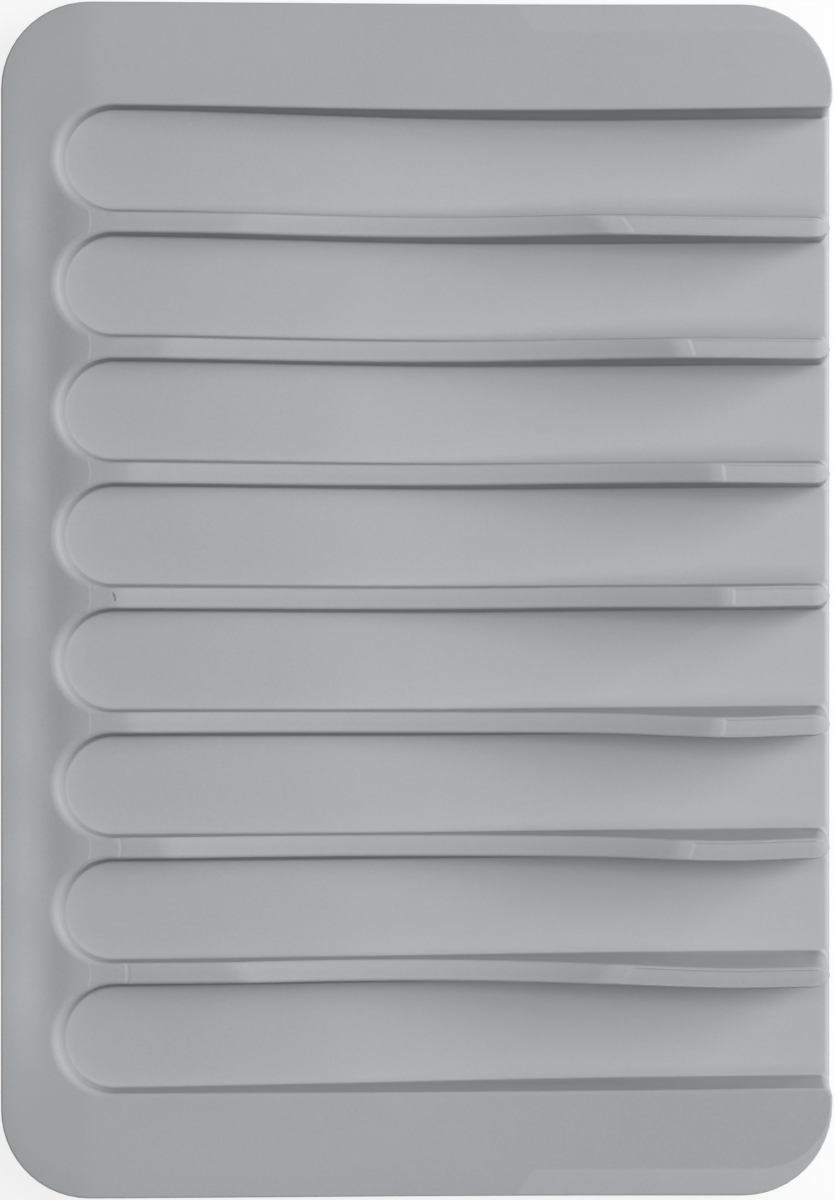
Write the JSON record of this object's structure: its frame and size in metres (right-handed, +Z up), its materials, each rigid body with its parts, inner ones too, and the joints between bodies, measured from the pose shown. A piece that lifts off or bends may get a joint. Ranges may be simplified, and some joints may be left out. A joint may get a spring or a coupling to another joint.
{
  "type": "soap dish",
  "caption": "Self-draining silicone soap dish: a rounded rectangular tray with parallel ribs over a curved floor that runs out at an open drain lip.",
  "frame": {"origin": "centre of the tray's outline, on the surface that it stands on", "axes": "+X from the closed end to the open drain end, +Y along the tray's long side, +Z up"},
  "size_m": [0.0818, 0.1168, 0.0125],
  "materials": {
    "silicone": "smooth matte light grey silicone with a very fine mould grain"
  },
  "bodies": {
    "root": {"tray_base": "silicone", "rib_1": "silicone", "rib_2": "silicone", "rib_3": "silicone", "rib_4": "silicone", "rib_5": "silicone", "rib_6": "silicone", "rib_7": "silicone"}
  },
  "joints": []
}
